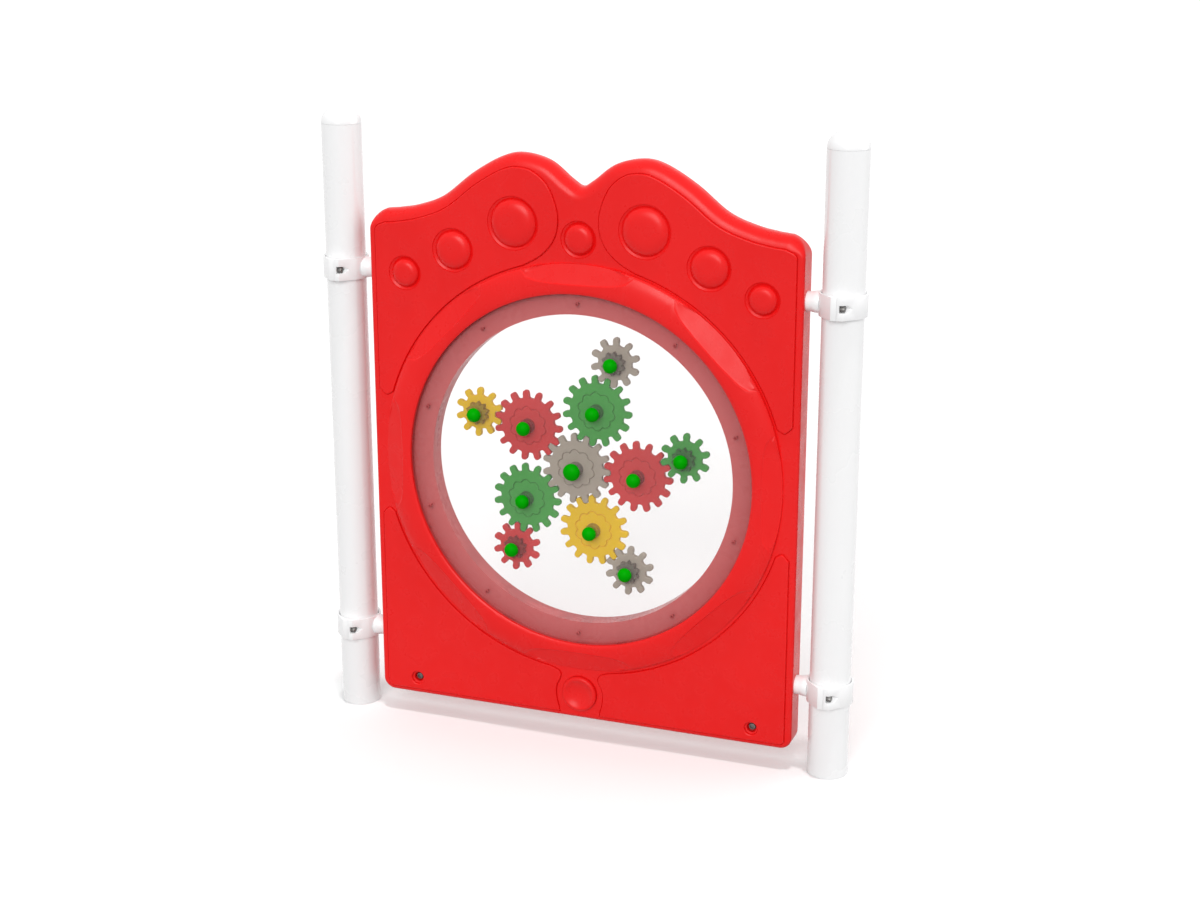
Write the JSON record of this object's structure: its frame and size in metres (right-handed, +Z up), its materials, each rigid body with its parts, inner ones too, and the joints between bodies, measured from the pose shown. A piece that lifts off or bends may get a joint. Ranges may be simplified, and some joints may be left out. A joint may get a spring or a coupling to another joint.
{
  "type": "gear play panel",
  "caption": "Play panel between two posts: a moulded board with a round clear window, and meshing gears behind it that turn together by domed knobs.",
  "frame": {"origin": "on the ground midway between the two posts, on the plane through the posts' axes", "axes": "+X across the panel to the right as seen from the front, +Y away from the front, +Z up"},
  "size_m": [1.2358, 0.12, 1.394],
  "materials": {
    "panel_red": "satin moulded polyethylene",
    "window_clear": "clear polycarbonate",
    "gear_grey": "satin moulded plastic",
    "gear_green": "satin moulded plastic",
    "gear_red": "satin moulded plastic",
    "gear_yellow": "satin moulded plastic",
    "knob_green": "glossy",
    "post_white": "white powder coat",
    "clamp_white": "white powder coat on a casting",
    "bolt_steel": "plain"
  },
  "bodies": {
    "frame": {"panel_body": "panel_red", "front_window": "window_clear", "rear_window": "window_clear", "corner_bolt_left": "bolt_steel", "corner_bolt_right": "bolt_steel", "post_left": "post_white", "post_cap_left": "post_white", "clamp_left_upper_inner": "clamp_white", "clamp_left_upper_outer": "clamp_white", "clamp_left_upper_front_bolt": "bolt_steel", "clamp_left_upper_back_bolt": "bolt_steel", "clamp_left_lower_inner": "clamp_white", "clamp_left_lower_outer": "clamp_white", "clamp_left_lower_front_bolt": "bolt_steel", "clamp_left_lower_back_bolt": "bolt_steel", "post_right": "post_white", "post_cap_right": "post_white", "clamp_right_upper_inner": "clamp_white", "clamp_right_upper_outer": "clamp_white", "clamp_right_upper_front_bolt": "bolt_steel", "clamp_right_upper_back_bolt": "bolt_steel", "clamp_right_lower_inner": "clamp_white", "clamp_right_lower_outer": "clamp_white", "clamp_right_lower_front_bolt": "bolt_steel", "clamp_right_lower_back_bolt": "bolt_steel"},
    "spin_centre": {"gear_centre": "gear_grey", "axle_centre": "knob_green", "knob_centre": "knob_green"},
    "spin_ring_1": {"gear_ring_1": "gear_green", "axle_ring_1": "knob_green", "knob_ring_1": "knob_green"},
    "spin_ring_2": {"gear_ring_2": "gear_red", "axle_ring_2": "knob_green", "knob_ring_2": "knob_green"},
    "spin_ring_3": {"gear_ring_3": "gear_yellow", "axle_ring_3": "knob_green", "knob_ring_3": "knob_green"},
    "spin_ring_4": {"gear_ring_4": "gear_green", "axle_ring_4": "knob_green", "knob_ring_4": "knob_green"},
    "spin_ring_5": {"gear_ring_5": "gear_red", "axle_ring_5": "knob_green", "knob_ring_5": "knob_green"},
    "spin_outer_1": {"gear_outer_1": "gear_grey", "axle_outer_1": "knob_green", "knob_outer_1": "knob_green"},
    "spin_outer_2": {"gear_outer_2": "gear_green", "axle_outer_2": "knob_green", "knob_outer_2": "knob_green"},
    "spin_outer_3": {"gear_outer_3": "gear_grey", "axle_outer_3": "knob_green", "knob_outer_3": "knob_green"},
    "spin_outer_4": {"gear_outer_4": "gear_red", "axle_outer_4": "knob_green", "knob_outer_4": "knob_green"},
    "spin_outer_5": {"gear_outer_5": "gear_yellow", "axle_outer_5": "knob_green", "knob_outer_5": "knob_green"}
  },
  "joints": [
    {"name": "centre_spin", "type": "hinge", "parent": "frame", "child": "spin_centre", "pos_m": [-0.0125, -0.0114, 0.63177], "axis": [0, 1, 0], "continuous": true},
    {"name": "ring_1_spin", "type": "hinge", "parent": "frame", "child": "spin_ring_1", "pos_m": [0.03507, -0.0114, 0.76609], "axis": [0, 1, 0], "continuous": true},
    {"name": "ring_2_spin", "type": "hinge", "parent": "frame", "child": "spin_ring_2", "pos_m": [0.12995, -0.0114, 0.62804], "axis": [0, 1, 0], "continuous": true},
    {"name": "ring_3_spin", "type": "hinge", "parent": "frame", "child": "spin_ring_3", "pos_m": [0.02797, -0.0114, 0.49514], "axis": [0, 1, 0], "continuous": true},
    {"name": "ring_4_spin", "type": "hinge", "parent": "frame", "child": "spin_ring_4", "pos_m": [-0.12994, -0.0114, 0.55105], "axis": [0, 1, 0], "continuous": true},
    {"name": "ring_5_spin", "type": "hinge", "parent": "frame", "child": "spin_ring_5", "pos_m": [-0.12555, -0.0114, 0.71852], "axis": [0, 1, 0], "continuous": true},
    {"name": "outer_1_spin", "type": "hinge", "parent": "frame", "child": "spin_outer_1", "pos_m": [0.07646, -0.0114, 0.8774], "axis": [0, 1, 0], "continuous": true},
    {"name": "outer_2_spin", "type": "hinge", "parent": "frame", "child": "spin_outer_2", "pos_m": [0.23632, -0.0114, 0.68084], "axis": [0, 1, 0], "continuous": true},
    {"name": "outer_3_spin", "type": "hinge", "parent": "frame", "child": "spin_outer_3", "pos_m": [0.11106, -0.0114, 0.41029], "axis": [0, 1, 0], "continuous": true},
    {"name": "outer_4_spin", "type": "hinge", "parent": "frame", "child": "spin_outer_4", "pos_m": [-0.15706, -0.0114, 0.43544], "axis": [0, 1, 0], "continuous": true},
    {"name": "outer_5_spin", "type": "hinge", "parent": "frame", "child": "spin_outer_5", "pos_m": [-0.24264, -0.0114, 0.73832], "axis": [0, 1, 0], "continuous": true}
  ],
  "couplings": [
    {"joint": "ring_1_spin", "follows": "centre_spin", "ratio": -1},
    {"joint": "ring_2_spin", "follows": "centre_spin", "ratio": -1},
    {"joint": "ring_3_spin", "follows": "centre_spin", "ratio": -1},
    {"joint": "ring_4_spin", "follows": "centre_spin", "ratio": -1},
    {"joint": "ring_5_spin", "follows": "centre_spin", "ratio": -1},
    {"joint": "outer_1_spin", "follows": "centre_spin", "ratio": 1.5},
    {"joint": "outer_2_spin", "follows": "centre_spin", "ratio": 1.5},
    {"joint": "outer_3_spin", "follows": "centre_spin", "ratio": 1.5},
    {"joint": "outer_4_spin", "follows": "centre_spin", "ratio": 1.5},
    {"joint": "outer_5_spin", "follows": "centre_spin", "ratio": 1.5}
  ]
}
